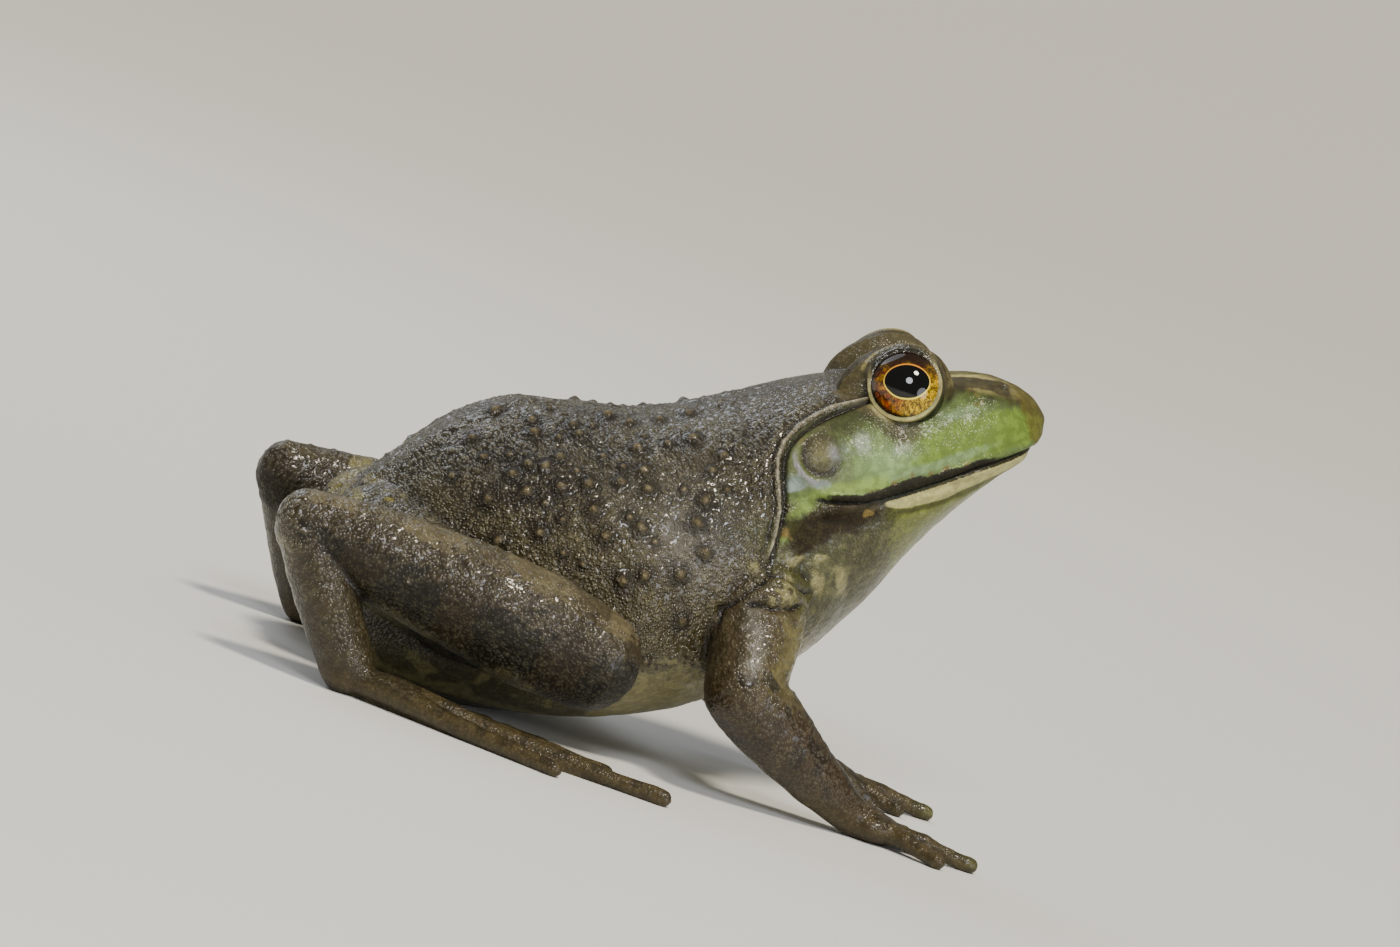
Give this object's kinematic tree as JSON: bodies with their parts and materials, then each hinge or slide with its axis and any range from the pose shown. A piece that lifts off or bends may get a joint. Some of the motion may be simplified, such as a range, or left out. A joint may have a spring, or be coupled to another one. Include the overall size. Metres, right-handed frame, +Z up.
{
  "type": "bullfrog",
  "caption": "Life-size still model of a bullfrog sitting alert on folded hind legs, head raised, hands on the floor.",
  "frame": {"origin": "on the floor, under the middle of the bounding box", "axes": "+X from the vent to the snout, +Y to the frog's left, +Z up from the floor"},
  "size_m": [0.1052, 0.1032, 0.0644],
  "materials": {
    "back_skin": "wet",
    "face_skin": "wet",
    "throat_skin": "wet",
    "eye": "clear gloss"
  },
  "bodies": {
    "root": {"trunk": "back_skin", "head": "face_skin", "lower_jaw": "throat_skin", "eardrum_left": "back_skin", "eardrum_right": "back_skin", "upper_arm_left": "back_skin", "upper_arm_right": "back_skin", "forearm_left": "back_skin", "forearm_right": "back_skin", "hand_left": "back_skin", "hand_right": "back_skin", "thigh_left": "back_skin", "thigh_right": "back_skin", "shank_left": "back_skin", "shank_right": "back_skin", "tarsus_left": "back_skin", "tarsus_right": "back_skin", "foot_left": "back_skin", "foot_right": "back_skin", "eye_left": "eye", "eye_right": "eye"}
  },
  "joints": []
}
